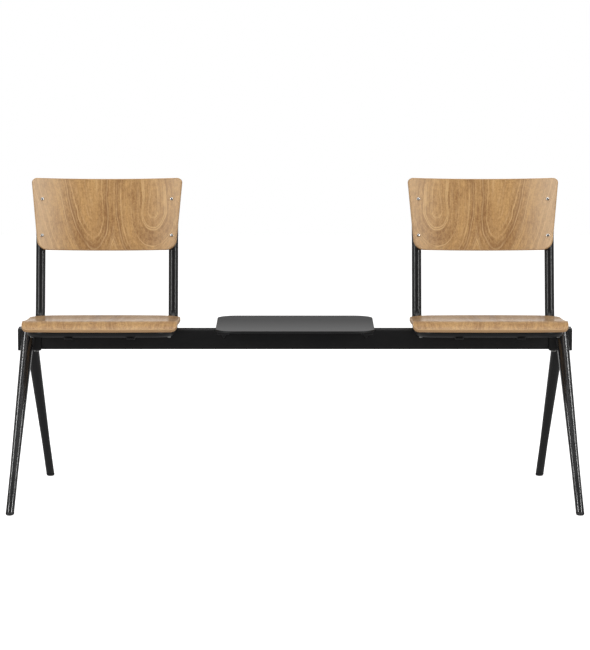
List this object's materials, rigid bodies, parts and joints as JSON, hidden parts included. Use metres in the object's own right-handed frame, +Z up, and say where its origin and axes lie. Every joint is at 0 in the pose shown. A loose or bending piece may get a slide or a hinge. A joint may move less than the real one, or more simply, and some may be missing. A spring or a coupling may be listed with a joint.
{
  "type": "companion seat bench",
  "caption": "Free-standing two-seat beam bench: plywood seats and backs on bent steel tube frames, a small table between them, and splayed tapered legs.",
  "frame": {"origin": "on the floor, under the middle of the bench's bounding box, which is also under the beam's middle", "axes": "+X along the beam, -Y towards the front edge of the seats, +Z up"},
  "size_m": [1.4346, 0.63, 0.7944],
  "materials": {
    "powder_coat_black": "satin black powder coat",
    "black_plastic": "matt moulded plastic",
    "black_laminate": "matt black compact laminate",
    "zinc_plated_steel": "bright zinc plating",
    "aluminium_rivet": "bare domed head",
    "plywood": "clear lacquered light veneer"
  },
  "bodies": {
    "root": {"beam": "powder_coat_black", "beam_end_cap_left": "black_plastic", "leg_sleeve_left": "powder_coat_black", "sleeve_bolts_left": "zinc_plated_steel", "sleeve_nuts_left": "zinc_plated_steel", "front_leg_left": "powder_coat_black", "foot_glide_front_left": "black_plastic", "rear_leg_left": "powder_coat_black", "foot_glide_rear_left": "black_plastic", "seat_frame_left": "powder_coat_black", "frame_plugs_left": "black_plastic", "front_support_arms_left": "powder_coat_black", "seat_left": "plywood", "seat_spacers_left": "black_plastic", "seat_screws_left": "zinc_plated_steel", "backrest_left": "plywood", "backrest_rivets_left": "aluminium_rivet", "table_bracket_left": "powder_coat_black", "beam_end_cap_right": "black_plastic", "leg_sleeve_right": "powder_coat_black", "sleeve_bolts_right": "zinc_plated_steel", "sleeve_nuts_right": "zinc_plated_steel", "front_leg_right": "powder_coat_black", "foot_glide_front_right": "black_plastic", "rear_leg_right": "powder_coat_black", "foot_glide_rear_right": "black_plastic", "seat_frame_right": "powder_coat_black", "frame_plugs_right": "black_plastic", "front_support_arms_right": "powder_coat_black", "seat_right": "plywood", "seat_spacers_right": "black_plastic", "seat_screws_right": "zinc_plated_steel", "backrest_right": "plywood", "backrest_rivets_right": "aluminium_rivet", "table_bracket_right": "powder_coat_black", "tabletop": "black_laminate", "table_screws": "zinc_plated_steel", "table_bracket_screws": "zinc_plated_steel"}
  },
  "joints": []
}
